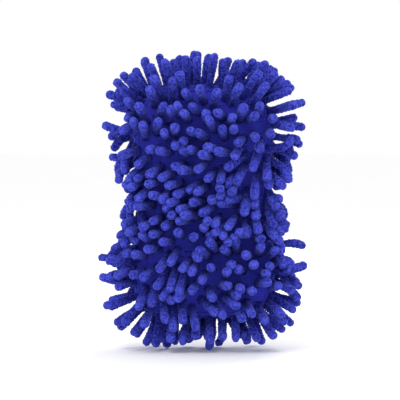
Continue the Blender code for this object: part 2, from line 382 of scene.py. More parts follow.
def yarn_look(name, roughness, weave, fibre, weave_share, dark, light, relief):
    """A cloth whose yarns show, roughened by its fibres."""
    look = Look(name, roughness, 0.2, (0.5, 0.52, 1.0))
    yarn = look.wave(*weave)
    shade = look.total((yarn, weave_share), (look.noise(fibre), 1 - weave_share))
    look.colours(shade, (0.25, dark), (0.75, light))
    look.bump(yarn, relief, 0.0003)
    return look.material


def net_look():
    dark, light = (0.012, 0.010, 0.16), (0.030, 0.028, 0.36)
    return yarn_look("spacer_net", 0.7, (420, "DIAGONAL", 1.0), 900, 0.5, dark, light, 0.6)


def elastic_look():
    dark, light = (0.006, 0.005, 0.07), (0.018, 0.016, 0.19)
    return yarn_look("elastic", 0.75, (330, "X", 0.6), 800, 0.45, dark, light, 0.5)


def binding_look():
    dark, light = (0.008, 0.007, 0.11), (0.018, 0.017, 0.24)
    return yarn_look("binding", 0.8, (380, "DIAGONAL", 0.4), 600, 0.5, dark, light, 0.5)


def thread_look():
    look = Look("thread", 0.55, 0.1, (0.6, 0.62, 1.0))
    ply = look.wave(900, "DIAGONAL", 0.3)
    look.colours(ply, (0.2, (0.020, 0.019, 0.26)), (0.8, (0.050, 0.050, 0.48)))
    look.bump(ply, 0.5, 0.0002)
    return look.material


def foam_look():
    look = Look("foam", 0.95)
    pores = look.noise(500, 6, 0.7)
    look.colours(pores, (0.35, (0.55, 0.50, 0.40)), (0.7, (0.80, 0.77, 0.68)))
    look.bump(pores, 0.8, 0.0008)
    return look.material


# ---------------- the stuffed form

EDGE_ROUND = 14 * MM
START_SINK = 2.0 * MM  # the form starts this far inside the CAD's pad, and swells
SWELL_CAP = 5.5 * MM
VOXEL = 4.5 * MM
SEAM_GRIP = VOXEL * 0.75  # points this near a seam are held
PRESSURE = 4
CLOTH_STEPS = 20
FORM_AROUND = 180
FORM_TURNS = 15  # rings over the rounded edge, front to back
CORNER = math.sqrt(0.5)  # the seam runs halfway round the edge
HALF_DEPTH = (BACK_Y - FRONT_Y) / 2 - START_SINK
SPINE_Y = HALF_DEPTH - EDGE_ROUND  # where the rounding of the edge is centred
SPINE_INSET = EDGE_ROUND + START_SINK


def start_form():
    """The cover before it is stuffed: the outline with rounded edges, as a closed mesh."""
    points, normals = outline.at(np.linspace(0, outline.length, FORM_AROUND, endpoint=False))
    rings = []
    for turn in np.linspace(-np.pi / 2, np.pi / 2, FORM_TURNS):
        inset = SPINE_INSET - EDGE_ROUND * math.cos(turn)
        y = EDGE_ROUND * math.sin(turn) + math.copysign(SPINE_Y, turn)
        flat = points - normals * inset
        rings.append(np.stack([flat[:, 0], 0 * flat[:, 0] + PAD_Y + y, flat[:, 1] + PAD_Z], 1))
    quads = grid_quads(len(rings), FORM_AROUND, True)
    last = (len(rings) - 1) * FORM_AROUND
    quads = np.concatenate([quads, end_quads(FORM_AROUND, 0), end_quads(FORM_AROUND, last)])
    form = mesh_object("form", np.concatenate(rings), quads)
    outward(form)
    remesh = form.modifiers.new("Remesh", "REMESH")
    remesh.mode = "VOXEL"
    remesh.voxel_size = VOXEL
    apply_modifiers(form)
    return form


def pin_seams(form, rest):
    """Holds the two seams, where the face cloths are sewn to the gusset."""
    seam_inset = SPINE_INSET - EDGE_ROUND * CORNER
    seam_y = SPINE_Y + EDGE_ROUND * CORNER
    inset = outline.inset(rest[:, [0, 2]] - [0, PAD_Z])
    gap = np.hypot(inset - seam_inset, np.abs(rest[:, 1] - PAD_Y) - seam_y)
    group = form.vertex_groups.new(name="seams")
    group.add([int(i) for i in np.flatnonzero(gap < SEAM_GRIP)], 1.0, "REPLACE")


def stuff(form):
    """Blows the cover up between its seams."""
    rest = np.array([v.co for v in form.data.vertices])
    pin_seams(form, rest)
    cloth = form.modifiers.new("Cloth", "CLOTH")
    settings = cloth.settings
    settings.quality = 5
    settings.use_pressure = True
    settings.uniform_pressure_force = PRESSURE
    settings.vertex_group_mass = "seams"
    settings.effector_weights.gravity = 0
    cloth.point_cache.frame_start, cloth.point_cache.frame_end = 1, CLOTH_STEPS
    for step in range(1, CLOTH_STEPS + 1):
        bpy.context.scene.frame_set(step)
    apply_modifiers(form)
    swell = np.array([v.co for v in form.data.vertices]) - rest
    length = np.linalg.norm(swell, axis=1)[:, None]
    swell *= np.minimum(1, SWELL_CAP / np.maximum(length, 1e-9))
    form.data.vertices.foreach_set("co", (rest + swell).astype(np.float32).ravel())


def smooth_form(form):
    refine = form.modifiers.new("Smooth", "SUBSURF")
    refine.levels = refine.render_levels = 1
    apply_modifiers(form)


form = start_form()
stuff(form)
smooth_form(form)
form_tree = BVHTree.FromObject(form, bpy.context.evaluated_depsgraph_get())


# How far outside the form the rays that look for it start, in metres
FACE_CAST = 0.2
SIDE_CAST = 0.03
EDGE_CAST = 0.06


def cast(start, heading):
    """Where a ray meets the form, and the form's normal there."""
    hit, normal, _, _ = form_tree.ray_cast(Vector(start), Vector(heading))
    if hit is None:
        hit, normal, _, _ = form_tree.find_nearest(Vector(start))
    return np.array(hit), np.array(normal)


def face_point(x, z, facing):
    """The form's front (facing -1) or back (1) at x, z from the pad's middle."""
    return cast((x, PAD_Y + facing * FACE_CAST, z + PAD_Z), (0, -facing, 0))


def side_point(distance, y):
    """The form's side at a distance round the outline."""
    flat, normal = (v[0] for v in outline.at(np.array([distance])))
    out = np.array([normal[0], 0, normal[1]])
    return cast(np.array([flat[0], y, flat[1] + PAD_Z]) + out * SIDE_CAST, -out)


def edge_point(distance, turn, facing):
    """The form's rounded edge: turn goes from the side, 0, to the face, a right angle."""
    flat, normal = (v[0] for v in outline.at(np.array([distance])))
    spine = flat - normal * SPINE_INSET
    out = np.array([normal[0], 0, normal[1]]) * math.cos(turn)
    out = out + np.array([0, facing * math.sin(turn), 0])
    start = np.array([spine[0], PAD_Y + facing * SPINE_Y, spine[1] + PAD_Z])
    return cast(start + out * EDGE_CAST, -out)


# ---------------- where the noodles grow

NOODLE_LENGTH = 29.5 * MM
FRONT_PITCH = 7.4 * MM
FRONT_ROW_PITCH = 14.4 * MM
FRONT_MARGIN = 8.0 * MM  # as many noodles as fit, at their pitch, this far inside the edge
FRONT_EDGE = 5.0 * MM  # from a row's last noodle to the edge, once the row is spread out
MOST_EACH_SIDE = 20  # of the middle, in a row
ROW_WAVE = 1.6 * MM
ROW_WAVE_REACH = 9 * MM  # along the row, for each radian of the wave
ROW_WAVE_SHIFT = 1.9  # radians from one row to the next
ROW_ZIGZAG = 2.6 * MM
SIDE_NOODLES = 56  # in each ring
SIDE_RING_PITCH = 11 * MM
ROOT_JITTER = 1.1 * MM  # along a row or a ring
ROW_JITTER = ROOT_JITTER * 0.6  # across a row
RING_JITTER = ROOT_JITTER * 0.8  # across a ring
LENGTH_JITTER = 0.07  # of its length
FRONT_JITTER = 2.2 * MM  # at the tips
SIDE_JITTER = 1.7 * MM
OVERLEAN = 1.06  # tips are aimed this much further, because noodles push each other upright
FRONT_OVERLEAN = 1.25  # and this much further again on the front
STAND = 0.32  # how strongly a noodle's foot stands straight up from the cloth
# Where nothing combs it, how far a front tip leans out for each metre from the middle
FAN_ACROSS = 0.10
FAN_ALONG = 0.05
SIDE_LEAN = 20  # mm that a side tip leans out where nothing combs it
# How the front's pile is combed, row by row from the top: a noodle rooted at x, z has its tip
# moved by the next two, in mm
FRONT_COMB = (
    (-42, 88, -5, 15), (-25, 88, 0, 13), (-8, 88, -3, 9), (14, 88, 1, 10), (33, 88, 8, 13),
    (47, 88, 12, 12), (-54, 74, -10, 9), (-40, 74, 8, 7), (-22, 74, 0, 8), (-5, 73, -2, 4),
    (20, 72, 0, 5), (42, 72, 0, 3), (57, 71, 1, 4), (-52, 58, -3, 6), (-32, 58, 0, 5),
    (-12, 58, -3, 2), (12, 58, -1, 6), (40, 57, 0, 0), (56, 57, 2, -2), (-48, 44, -10, -5),
    (-34, 43, -2, -2), (-20, 43, 0, 4), (0, 43, -6, 0), (22, 44, -8, 1), (38, 43, -13, -10),
    (50, 44, -3, -15), (-50, 29, -10, -7), (-32, 29, -7, -5), (-10, 28, -7, -1), (8, 29, -6, -4),
    (22, 30, -4, -7), (38, 28, -8, -12), (52, 28, 3, -19), (-48, 14, -8, -3), (-24, 16, -7, -3),
    (-5, 15, -7, -4), (20, 13, -4, -3), (43, 15, -4, -17), (-54, 1, -9, -5), (-40, 0, -5, 0),
    (-20, 0, -7, -1), (6, 0, -9, -2), (30, -1, -11, 3), (50, 1, 5, -14), (-50, -13, -10, -6),
    (-28, -14, -3, -1), (-6, -14, -8, -2), (22, -13, -4, -5), (40, -12, -1, -9), (50, -15, 6, -14),
    (-46, -29, -8, 3), (-20, -29, -3, 5), (10, -28, -3, 3), (36, -28, 0, 0), (-44, -42, -8, 0),
    (-22, -44, -6, -9), (10, -43, -4, 5), (32, -44, -5, 6), (52, -48, 2, 4), (-40, -58, -9, -7),
    (-22, -58, -5, -14), (14, -58, 0, 1), (40, -58, 0, 1), (56, -58, 2, 4), (-54, -60, -9, -2),
    (-42, -72, -3, -13), (-28, -73, -3, -4), (-12, -74, -4, -5), (20, -73, 2, 0), (45, -73, 3, 3),
    (58, -76, 6, 2), (-52, -86, -11, -11), (-34, -86, 3, -16), (-16, -86, 2, -14), (2, -87, 8, -5),
    (20, -87, 6, -3), (40, -87, 2, -6), (53, -88, 11, -11),
)
FRONT_COMB_REACH = 8
FULL_COMB = 0.3  # weight from which the combs alone set a noodle's lean
# The same for the sides, round from the upper left
SIDE_COMB = (
    (-62, 80, -20, 8), (-61, 70, -18, -2), (-60, 60, -15, -9), (-59, 45, -12, -14),
    (-58, 28, -10, -15), (-57, 10, -10, -13), (-57, -8, -8, -12), (-58, -25, -13, -8),
    (-60, -42, -20, -5), (-62, -55, -20, -2), (-63, -68, -21, 0), (-63, -80, -26, -9),
    (-62, -90, -28, -16), (-55, -98, -25, -20), (-43, -102, -8, -21), (-30, -102, -2, -20),
    (0, -102, 0, -20), (30, -102, 3, -19), (42, -102, 8, -20), (52, -98, 20, -20), (62, -88, 25, -16),
    (62, -75, 20, -6), (61, -58, 16, -4), (60, -42, 12, -7), (59, -28, 9, -11), (58, -8, 11, -13),
    (57, 6, 13, -13), (58, 22, 12, -17), (59, 36, 14, -15), (60, 45, 10, -18), (61, 54, 23, -1),
    (61, 63, 20, -6), (62, 74, 26, 2), (62, 85, 28, 9), (56, 91, 26, 15), (45, 97, 20, 20),
    (30, 101, 12, 22), (10, 102, 5, 22), (0, 102, 3, 23), (-14, 102, 1, 22), (-30, 101, -6, 22),
    (-45, 98, -13, 21), (-56, 90, -21, 14),
)
SIDE_COMB_REACH = 7
RING_REACH = (0.82, 0.93, 0.96)  # how far each ring's tips stand out, for one as combed
# The share of a side noodle's spare length that goes to the back, or, below 0, to the front
RING_HEADING = ((-0.95, -0.4), (-0.7, 0.7), (0.2, 0.9))
RING_SHIFT = (-1.0 * MM, 0, 0)  # along y
RING_STAGGER = (0, 0.5, 0.2)  # of the noodles' pitch
CLUMP = 4.2 * MM  # side noodles gather into tufts, by this much at the tips
CLUMP_PITCH = 29 * MM
CLUMP_DRIFT = 0.15  # of the pitch, that the tufts wander by
CLUMP_DRIFT_REACH = 40 * MM
CLUMP_EASE = 0.8  # of the gathering is lost at the top and bottom


def combed(comb, reach, x, z, plain):
    """How far the tip of a noodle rooted at x, z is moved in x and z; plain is used off the comb."""
    table = np.array(comb, float)
    gap = np.hypot(x / MM - table[:, 0], z / MM - table[:, 1]) / reach
    weight = np.exp(-gap * gap)
    moved = (weight[:, None] * table[:, 2:]).sum(0) * MM / weight.sum()
    share = min(1, weight.sum() / FULL_COMB)
    return moved * share + np.array(plain) * (1 - share)


def noodle(root, normal, lean, heading):
    """A noodle's root, the cloth's normal there and where its tip lies from its root.

    heading is the vector that takes up the length that lean leaves."""
    lean = np.array([lean[0], 0, lean[1]]) * OVERLEAN
    rest = max(NOODLE_LENGTH**2 - lean.dot(lean), 0) ** 0.5
    return root, normal, lean + heading * rest


def front_row_height(row):
    return (row - (FRONT_ROWS - 1) / 2) * FRONT_ROW_PITCH


def row_wave(x, row):
    """A row of noodles isn't quite straight."""
    return ROW_WAVE * math.sin(x / ROW_WAVE_REACH + row * ROW_WAVE_SHIFT)


def front_roots():
    """One list of noodles for each row across the front."""
    rows = []
    for row in range(FRONT_ROWS):
        z = front_row_height(row)
        reach = outline.half_width(z) - FRONT_MARGIN
        places = np.arange(-MOST_EACH_SIDE, MOST_EACH_SIDE + 1) + (0.5 if row % 2 else 0.0)
        places = places[np.abs(places) * FRONT_PITCH <= reach]
        places *= (outline.half_width(z) - FRONT_EDGE) / places.max()
        noodles = []
        for k, x in enumerate(places):
            x += rng.normal(0, ROOT_JITTER)
            height = z + rng.normal(0, ROW_JITTER) + row_wave(x, row) + ROW_ZIGZAG * (-1) ** k
            root, normal = face_point(x, height, -1)
            plain = (x * FAN_ACROSS, height * FAN_ALONG)
            lean = combed(FRONT_COMB, FRONT_COMB_REACH, x, height, plain) * FRONT_OVERLEAN
            lean += rng.normal(0, FRONT_JITTER, 2)
            noodles.append(noodle(root, normal, lean, np.array([0, -1.0, 0])))
        rows.append(noodles)
    return rows


def side_of(normal):
    if abs(normal[0]) > abs(normal[1]):
        return "right" if normal[0] > 0 else "left"
    return "top" if normal[1] > 0 else "bottom"


def ring_y(ring):
    return PAD_Y + (ring - 1) * SIDE_RING_PITCH + RING_SHIFT[ring]


def side_roots():
    """Lists of noodles by side and ring."""
    rows = {}
    pitch = outline.length / SIDE_NOODLES
    for ring in range(SIDE_RINGS):
        y = ring_y(ring)
        for k in range(SIDE_NOODLES):
            normal = outline.at(np.array([(k + 0.5) * pitch]))[1][0]
            side = side_of(normal)
            # the rings are staggered across the top and bottom, and line up down the sides
            level = abs(normal[1])
            distance = (k + 0.5 + RING_STAGGER[ring] * level) * pitch + rng.normal(0, ROOT_JITTER)
            root, normal = side_point(distance, y + rng.normal(0, RING_JITTER))
            flat, out = (v[0] for v in outline.at(np.array([distance])))
            lean = combed(SIDE_COMB, SIDE_COMB_REACH, flat[0], flat[1], out * SIDE_LEAN * MM)
            lean = lean * RING_REACH[ring]
            drift = CLUMP_DRIFT * math.sin(distance / CLUMP_DRIFT_REACH)
            phase = 2 * np.pi * (distance / CLUMP_PITCH + drift)
            lean += np.array([-out[1], out[0]]) * -CLUMP * math.sin(phase) * (1 - CLUMP_EASE * level)
            lean += rng.normal(0, SIDE_JITTER, 2)
            heading = np.array([0, rng.uniform(*RING_HEADING[ring]), 0])
            rows.setdefault((side, ring), []).append(noodle(root, normal, lean, heading))
    return rows


# ---------------- pushing the noodles apart

TIP_RADIUS = 3.6 * MM
NECK_RADIUS = 3.0 * MM
CLUB_SHARE = 0.7  # of its length, where a noodle reaches its full radius
NOODLE_LINKS = 7  # joints along a noodle while it is pushed into place
AIM_ROUNDS = 8
PUSHES = 90
NEAR = 13 * MM  # joints this near each other are watched
PUSHES_WATCHED = 15  # before the near ones are looked up again
PRESS = 0.35  # of an overlap is pushed out at a time
MOST_SHIFT = 1.5 * MM  # in one push
RESTORE = 0.09
TOUCH = 0.96  # noodles may press into each other by the rest of their radii
CLOTH_TOUCH = 0.9  # and into the cloth
ROOT_JOINTS = 3  # joints at the root that the cloth doesn't push
MOST_BEND = math.radians(20)  # at each joint
FLOOR_GAP = 0.9 * MM
ROOT_DEPTH = 1.5 * MM  # how deep a noodle starts under the cloth's surface


def rest_chains(noodles, lengths):
    """Joints of each noodle, which rises from the cloth and bends over to where its tip belongs."""
    roots, normals, tips = (np.array([n[k] for n in noodles]) for k in range(3))
    tips = tips / NOODLE_LENGTH * lengths[:, None] + normals * ROOT_DEPTH
    steps = np.linspace(0, 1, NOODLE_LINKS - 1)[None, :, None]
    link = (lengths / (NOODLE_LINKS - 1))[:, None, None]
    aim = tips / lengths[:, None]
    for _ in range(AIM_ROUNDS):
        heading = unit(normals[:, None] * (1 - steps) * STAND + aim[:, None])
        joints = np.cumsum(heading * link, 1)
        aim += (tips - joints[:, -1]) / lengths[:, None]
    chain = np.concatenate([np.zeros((len(noodles), 1, 3)), joints], 1)
    return roots[:, None] - normals[:, None] * ROOT_DEPTH + chain


def link_radii():
    share = np.linspace(0, 1, NOODLE_LINKS)
    return NECK_RADIUS + (TIP_RADIUS - NECK_RADIUS) * np.minimum(1, share / CLUB_SHARE)


def near_pairs(points, owner, reach):
    """Pairs of points of different noodles that lie within reach."""
    order = np.argsort(points[:, 2], kind="stable")
    z = points[order, 2]
    ends = np.searchsorted(z, z + reach, side="right")
    first, second = [], []
    for i, mine in enumerate(order):
        others = order[i + 1 : ends[i]]
        gap = np.abs(points[others] - points[mine]).max(1)
        others = others[(gap < reach) & (owner[others] != owner[mine])]
        first.append(np.full(len(others), mine))
        second.append(others)
    return np.concatenate(first), np.concatenate(second)


def straightened(before, after):
    """after, turned back so that it is at most MOST_BEND from before."""
    along = (before * after).sum(1, keepdims=True)
    aside = unit(after - before * along)
    limit = before * math.cos(MOST_BEND) + aside * math.sin(MOST_BEND)
    return np.where(along < math.cos(MOST_BEND), limit, after)


def settle(noodles, lengths):
    """Joints of all noodles once they are pushed off each other, the cloth and the floor.

    The first two joints of each are sewn down."""
    rest = rest_chains(noodles, lengths)
    chain = rest.copy()
    count, links, _ = chain.shape
    radii = np.tile(link_radii(), (count, 1))
    owner = np.repeat(np.arange(count), links - 2)
    flat_radii = radii[:, 2:].ravel()
    link = (lengths / (links - 1))[:, None]
    roots = np.array([n[0] for n in noodles])
    out = unit(np.array([n[1] for n in noodles]))
    for push in range(PUSHES):
        points = chain[:, 2:].reshape(-1, 3)
        if push % PUSHES_WATCHED == 0:
            a, b = near_pairs(points, owner, NEAR)
        apart = points[a] - points[b]
        gap = np.linalg.norm(apart, axis=1)
        press = np.maximum((flat_radii[a] + flat_radii[b]) * TOUCH - gap, 0) * PRESS
        move = apart / np.maximum(gap, 1e-9)[:, None] * press[:, None]
        shift = np.stack(
            [np.bincount(a, m, len(points)) - np.bincount(b, m, len(points)) for m in move.T], 1
        )
        shift = np.clip(shift, -MOST_SHIFT, MOST_SHIFT)
        chain[:, 2:] += shift.reshape(count, links - 2, 3)
        chain[:, 2:] += (rest[:, 2:] - chain[:, 2:]) * RESTORE
        height = ((chain - roots[:, None]) * out[:, None]).sum(-1)
        low = np.maximum(radii * CLOTH_TOUCH - height, 0)
        low[:, :ROOT_JOINTS] = 0
        chain += low[..., None] * out[:, None]
        for k in range(2, links):
            before = unit(chain[:, k - 1] - chain[:, k - 2])
            heading = straightened(before, unit(chain[:, k] - chain[:, k - 1]))
            chain[:, k] = chain[:, k - 1] + heading * link
            chain[:, k, 2] = np.maximum(chain[:, k, 2], radii[:, k] + FLOOR_GAP)
    return chain


# ---------------- skinning a noodle

TUBE_STATIONS = 52
TUBE_SIDES = 20
TIP_STATIONS = 7
FLARE = 2.3 * MM  # the noodle's foot spreads into the cloth
FLARE_REACH = 1.5 * MM
SWELL_START = 0.12  # of its length, where a noodle starts to thicken
SWELL_REACH = 0.62
RIB_PITCH = 2.3 * MM
RIB_HEIGHT = 0.24 * MM
LUMP_PITCH = 7.3 * MM
LUMP_BEAT = 11 * MM  # the lumps come and go over this length
LUMP_HEIGHT = 0.28 * MM
FUZZ_HEIGHT = 0.17 * MM
RELIEF_RISE = 6  # the relief is full after a sixth of the length
TIP_HOLE = 0.12  # the last ring's share of the radius, before it is closed
RADIUS_JITTER = 0.04
NECK_SHARES = (0.66, 0.9)  # least and most of the tip's radius


def smooth_line(points, count):
    """Catmull-Rom curve through a noodle's joints."""
    padded = np.vstack([2 * points[0] - points[1], points, 2 * points[-1] - points[-2]])
    share = np.linspace(0, len(points) - 1 - 1e-9, count)
    i = share.astype(int)
    t = (share - i)[:, None]
    p0, p1, p2, p3 = (padded[i + k] for k in range(4))
    cubic = (3 * p1 - p0 - 3 * p2 + p3) * t**3
    return 0.5 * (2 * p1 + (p2 - p0) * t + (2 * p0 - 5 * p1 + 4 * p2 - p3) * t**2 + cubic)


def interpolated(at, run, values):
    return np.stack([np.interp(at, run, values[:, i]) for i in range(3)], 1)


def tube(points, tip_radius, neck_radius):
    """Points, quads and share of the length of a closed, club-shaped tube along a noodle's joints."""
    line = smooth_line(points, TUBE_STATIONS)
    run = np.concatenate([[0], np.cumsum(np.linalg.norm(np.diff(line, axis=0), axis=1))])
    length = run[-1]
    turn = np.linspace(0, np.pi / 2, TIP_STATIONS + 1)[1:]
    body = np.linspace(0, length - tip_radius, TUBE_STATIONS)
    reach = np.concatenate([body, length - tip_radius + tip_radius * np.sin(turn)])
    share = reach / length
    centre = interpolated(reach, run, line)
    heading = unit(interpolated(reach, run, np.gradient(line, axis=0)))
    side = np.empty_like(heading)
    side[0] = unit(np.cross(heading[0], [0.31, 0.17, 0.93]))
    for k in range(1, len(heading)):
        side[k] = unit(side[k - 1] - heading[k] * side[k - 1].dot(heading[k]))
    swell = np.clip((share - SWELL_START) / SWELL_REACH, 0, 1)
    radius = neck_radius + (tip_radius - neck_radius) * swell * swell * (3 - 2 * swell)
    radius = radius + FLARE * np.exp(-np.maximum(reach - ROOT_DEPTH, 0) / FLARE_REACH)
    angle = np.linspace(0, 2 * np.pi, TUBE_SIDES, endpoint=False)
    twist = rng.uniform(0, 2 * np.pi, 3)
    turns = 2 * np.pi * reach[:, None]
    relief = RIB_HEIGHT * np.sin(turns / RIB_PITCH + angle + twist[0])
    waves = np.sin(turns / LUMP_PITCH + 2 * angle + twist[1]) * np.sin(turns / LUMP_BEAT + twist[2])
    relief = relief + LUMP_HEIGHT * waves + rng.normal(0, FUZZ_HEIGHT, (len(reach), TUBE_SIDES))
    cap = np.concatenate([np.ones(TUBE_STATIONS), np.cos(turn)])
    cap[-1] = TIP_HOLE
    size = (radius[:, None] + relief * np.minimum(1, share * RELIEF_RISE)[:, None]) * cap[:, None]
    section = np.stack([np.cos(angle) * size, np.sin(angle) * size], -1)
    skin, quads = sweep(centre, side, np.cross(heading, side), section)
    # the share of the length is also the mask of the pile's painted root shade
    return skin, quads, np.repeat(share, TUBE_SIDES)


TAPE_HALF_WIDTH = 3.3 * MM
TAPE_HALF_HEIGHT = 0.5 * MM
TAPE_SHARE = 0.4  # the tape is painted as light as this far up a noodle, on the pile's painted root shade
TAPE_STATIONS = 80
RING_STATIONS = 240


def tape(points, normals):
    """The stitched tape that a row of noodles grows from."""
    points, normals = np.array(points), np.array(normals)
    sides, ups = path_frames(points, normals)
    return sweep(points, sides, ups, oval(TAPE_HALF_WIDTH, TAPE_HALF_HEIGHT, 8, 0.6))


def front_tape(row):
    z = front_row_height(row)
    reach = outline.half_width(z) - FRONT_EDGE
    places = [face_point(x, z + row_wave(x, row), -1) for x in np.linspace(-reach, reach, TAPE_STATIONS)]
    return tape(*zip(*places))


def side_tape(side, ring):
    y = ring_y(ring)
    run = np.linspace(0, outline.length, RING_STATIONS, endpoint=False)
    on_side = np.array([side_of(n) == side for n in outline.at(run)[1]])
    # start the run where the side starts, so that it is one stretch
    first = np.flatnonzero(on_side & ~np.roll(on_side, 1))[0]
    run = np.roll(run, -first)[: on_side.sum()]
    return tape(*zip(*[side_point(d, y) for d in run]))


def grow_pile(look, front_rows, side_rows):
    rows = [(f"front_noodle_row_{i + 1:02}", row, front_tape(i)) for i, row in enumerate(front_rows)]
    for (side, ring), row in side_rows.items():
        rows.append((f"{side}_noodle_row_{ring + 1}", row, side_tape(side, ring)))
    noodles = [n for _, row, _ in rows for n in row]
    lengths = NOODLE_LENGTH * (1 + rng.normal(0, LENGTH_JITTER, len(noodles))) + ROOT_DEPTH
    chains = settle(noodles, lengths)
    tips = TIP_RADIUS * (1 + rng.normal(0, RADIUS_JITTER, len(noodles)))
    necks = rng.uniform(*NECK_SHARES, len(noodles)) * tips
    start = 0
    for name, row, tape_parts in rows:
        end = start + len(row)
        tubes = [tube(chains[i], tips[i], necks[i]) for i in range(start, end)]
        points, quads = joined([tape_parts] + [t[:2] for t in tubes])
        made = mesh_object("pile_" + name, points, quads)
        # painted shade: the along attribute holds each point's share of its noodle's length, which the
        # pile's colour paints darker at the roots and lighter at the tips
        share = np.concatenate([np.full(len(tape_parts[0]), TAPE_SHARE)] + [t[2] for t in tubes])
        along = made.data.attributes.new("along", "FLOAT", "POINT")
        along.data.foreach_set("value", share.astype(np.float32))
        finish_piece(made, look, [name])
        start = end


# ---------------- cover

CLOTH = 1.2 * MM
AROUND = 320
SEAM_TURN = np.pi / 4
INNERMOST = 0.04  # of the outline, the last ring round a face cloth's middle
EDGE_TURNS = 9  # of the gusset's rings, from a seam to its side
SIDE_STEPS = 12


def around():
    return np.linspace(0, outline.length, AROUND, endpoint=False)


TENT_HEIGHT = 2.6 * MM
TENT_REACH = 4.4 * MM


def drawn_up(points, normals, roots):
    """The cloth's points, pulled up into a small tent round each noodle's foot."""
    rise = np.zeros(len(points))
    for root in roots:
        gap = np.linalg.norm(points - root, axis=1) / TENT_REACH
        rise = np.maximum(rise, np.exp(-gap * gap))
    return points + normals * (rise * TENT_HEIGHT)[:, None]


def face_cloth(name, facing, roots=(), steps=58, turns=10):
    """The cloth from the seam to the middle of the front or back."""
    rings = [
        [edge_point(d, turn, facing) for d in around()]
        for turn in np.linspace(SEAM_TURN, np.pi / 2, turns)
    ]
    points, normals = outline.at(around())
    inner = points - normals * SPINE_INSET
    for share in np.linspace(1, INNERMOST, steps)[1:]:
        rings.append([face_point(x, z, facing) for x, z in inner * share])
    rings = np.array(rings).reshape(-1, 2, 3)
    points = drawn_up(rings[:, 0], rings[:, 1], roots)
    middle = points[-AROUND:].mean(0)
    count = turns + steps - 1
    quads = [grid_quads(count, AROUND, True), fan_quads(AROUND, (count - 1) * AROUND, count * AROUND)]
    return cloth(name, np.vstack([points, middle]), np.concatenate(quads), CLOTH, facing)


def gusset_strip(roots):
    """The strip round the side, from the front seam to the back seam."""
    turns = np.linspace(SEAM_TURN, 0, EDGE_TURNS)
    rings = [[edge_point(d, turn, -1) for d in around()] for turn in turns]
    for y in np.linspace(-SPINE_Y, SPINE_Y, SIDE_STEPS)[1:-1]:
        rings.append([side_point(d, PAD_Y + y) for d in around()])
    rings += [[edge_point(d, turn, 1) for d in around()] for turn in turns[::-1]]
    rings = np.array(rings).reshape(-1, 2, 3)
    points = drawn_up(rings[:, 0], rings[:, 1], roots)
    return cloth("gusset_strip", points, grid_quads(len(points) // AROUND, AROUND, True), CLOTH)


PIPING_RADIUS = 1.1 * MM
PIPING_WIDTH = 1.3  # for one as high as it is wide
PIPING_LIFT = 0.4 * MM


def piping(name, facing):
    """The bound seam between a face and the gusset."""
    places = [edge_point(d, SEAM_TURN, facing) for d in around()]
    points = np.array([p + n * PIPING_LIFT for p, n in places])
    sides, ups = path_frames(points, np.array([n for _, n in places]), True)
    section = oval(PIPING_RADIUS * PIPING_WIDTH, PIPING_RADIUS, 10)
    return mesh_object(name, *sweep(points, sides, ups, section, True))


NET_PITCH = 4.4 * MM
NET_HOLE = 1.45 * MM
NET_THICKNESS = 1.1 * MM
NET_INSET = 11 * MM
NET_SIDES = 12  # of a hole
BACK_LIFT = 0.2 * MM


def back_net():
    """Spacer net: a sheet of round holes, laid over the back."""
    row_pitch = NET_PITCH * math.sqrt(3) / 2
    angle = np.arange(NET_SIDES) * np.pi / (NET_SIDES / 2)
    rim = np.where(np.arange(NET_SIDES) % 2, NET_PITCH / math.sqrt(3), NET_PITCH / 2)
    number, points, quads = {}, [], []

    def point(x, z):
        key = (round(x * 1e6), round(z * 1e6))
        if key not in number:
            number[key] = len(points)
            hit, normal = face_point(x, z, 1)
            points.append(hit + normal * (BACK_LIFT + NET_THICKNESS))
        return number[key]

    tall, wide = int(PAD_HALF_HEIGHT / row_pitch), int(PAD_HALF_WIDTH / NET_PITCH) + 1
    for row in range(-tall, tall + 1):
        for column in range(-wide, wide + 1):
            x, z = (column + (row % 2) / 2) * NET_PITCH, row * row_pitch
            if abs(z) > PAD_HALF_HEIGHT - NET_INSET or abs(x) > outline.half_width(z) - NET_INSET:
                continue
            if outline.inset(np.array([[x, z]]))[0] < NET_INSET:
                continue
            outer = [point(x + r * math.cos(a), z + r * math.sin(a)) for a, r in zip(angle, rim)]
            inner = [point(x + NET_HOLE * math.cos(a), z + NET_HOLE * math.sin(a)) for a in angle]
            for k in range(NET_SIDES):
                after = (k + 1) % NET_SIDES
                quads.append((outer[k], outer[after], inner[after], inner[k]))
    return cloth("back_net", np.array(points), np.array(quads), NET_THICKNESS, 1)


BAND_TURNS = 8
BAND_THICKNESS = 0.9 * MM
BAND_OVERHANG = 0.5 * MM
BAND_LIFT = BACK_LIFT + NET_THICKNESS + BAND_THICKNESS


def back_band():
    """The binding round the back, over the edge of the net."""
    turns = np.linspace(SEAM_TURN, np.pi / 2, BAND_TURNS)
    rings = [[edge_point(d, turn, 1) for d in around()] for turn in turns]
    points, normals = outline.at(around())
    rings.append([face_point(x, z, 1) for x, z in points - normals * (SPINE_INSET + BAND_OVERHANG)])
    points = np.array([[p + n * BAND_LIFT for p, n in ring] for ring in rings])
    quads = grid_quads(len(rings), AROUND, True)
    return cloth("back_binding", points.reshape(-1, 3), quads, BAND_THICKNESS, 1)


STITCH_LENGTH = 2.6 * MM
STITCH_PITCH = 3.5 * MM
STITCH_TURNS = (62, 84)  # degrees round the edge, of the two rows
STITCH_RISE = (-0.6, 0.3, 0.7, 0.7, 0.3, -0.6)  # along a stitch, in radii of the thread
THREAD_RADIUS = 0.3 * MM


def stitches(starts, ends, ups):
    """A raised loop of thread for each stitch."""
    parts = []
    rise = np.array(STITCH_RISE) * THREAD_RADIUS
    for start, end, up in zip(starts, ends, ups):
        share = np.linspace(0, 1, len(rise))[:, None]
        centres = start + (end - start) * share + up * rise[:, None]
        sides, lifts = path_frames(centres, np.tile(up, (len(rise), 1)))
        parts.append(sweep(centres, sides, lifts, oval(THREAD_RADIUS, THREAD_RADIUS, 6)))
    return joined(parts)


